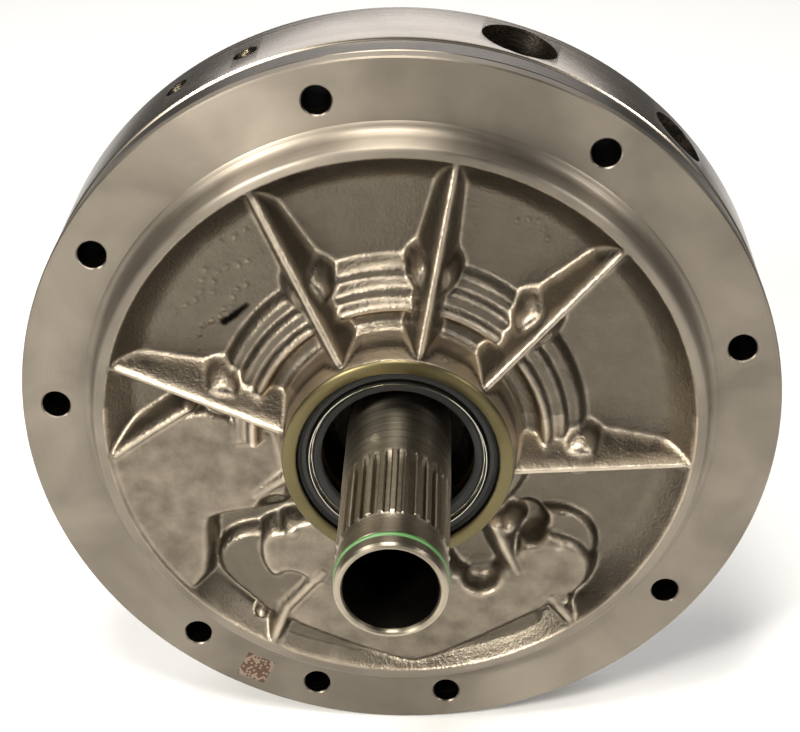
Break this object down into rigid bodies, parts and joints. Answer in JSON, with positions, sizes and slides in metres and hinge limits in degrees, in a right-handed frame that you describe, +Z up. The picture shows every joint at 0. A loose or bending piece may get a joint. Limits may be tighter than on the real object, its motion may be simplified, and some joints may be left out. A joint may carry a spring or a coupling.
{
  "type": "transmission oil pump with stator support",
  "caption": "Round oil pump in three bolted plates with a gerotor inside, a ribbed front, a lip seal and a splined hollow stator tube.",
  "frame": {"origin": "on the pump's axis, in the plane of the bolting flange's front face, where the case bolts' heads sit", "axes": "+Y along the pump's axis, rearwards into the transmission case; the seal and the splined tube point along -Y; +Z up as installed; +X to the right seen from the front"},
  "size_m": [0.24, 0.1774, 0.24],
  "materials": {
    "cast_aluminium": "die-cast and shot-blasted, machined on the flange and the hub",
    "machined_aluminium": "turned and face-milled",
    "ground_steel": "ground and oiled",
    "sintered_steel": "sintered and ground",
    "zinc_steel": "zinc plated",
    "bearing_bronze": "bored",
    "black_rubber": "moulded",
    "green_rubber": "moulded",
    "ring_plastic": "moulded",
    "washer_plastic": "moulded"
  },
  "bodies": {
    "pump": {"front_housing": "cast_aluminium", "pump_body": "machined_aluminium", "rear_support": "machined_aluminium", "stator_tube": "ground_steel", "case_ring": "black_rubber", "seal_case": "zinc_steel", "seal_lip": "black_rubber", "garter_spring": "ground_steel", "hub_bushing": "bearing_bronze", "tube_ring": "green_rubber", "input_bush_front": "bearing_bronze", "input_bush_rear": "bearing_bronze", "clutch_ring_1": "ring_plastic", "clutch_ring_2": "ring_plastic", "clutch_ring_3": "ring_plastic", "clutch_ring_4": "ring_plastic", "thrust_washer": "washer_plastic", "dowel_pin_1": "ground_steel", "dowel_pin_2": "ground_steel", "plug_ball_1": "ground_steel", "plug_ball_2": "ground_steel", "relief_plug": "zinc_steel", "relief_spring": "ground_steel", "assembly_bolt_1": "zinc_steel", "assembly_bolt_2": "zinc_steel", "assembly_bolt_3": "zinc_steel", "assembly_bolt_4": "zinc_steel", "assembly_bolt_5": "zinc_steel", "assembly_bolt_6": "zinc_steel", "assembly_bolt_7": "zinc_steel", "assembly_bolt_8": "zinc_steel"},
    "inner_rotor": {"inner_rotor": "sintered_steel"},
    "outer_rotor": {"outer_rotor": "sintered_steel"},
    "relief_ball": {"relief_ball": "ground_steel"}
  },
  "joints": [
    {"name": "inner_rotor_spin", "type": "hinge", "parent": "pump", "child": "inner_rotor", "pos_m": [0, 0.011, 0], "axis": [0, 1, 0], "continuous": true},
    {"name": "outer_rotor_spin", "type": "hinge", "parent": "pump", "child": "outer_rotor", "pos_m": [0.00134, 0.011, 0.00223], "axis": [0, 1, 0], "continuous": true},
    {"name": "relief_ball_lift", "type": "slide", "parent": "pump", "child": "relief_ball", "axis": [0, 0, -1], "range_m": [0, 0.004], "stiffness_N_per_m": 3000, "springref_m": -0.008, "deforming": ["relief_spring"]}
  ],
  "couplings": [
    {"joint": "outer_rotor_spin", "follows": "inner_rotor_spin", "ratio": 0.9}
  ]
}
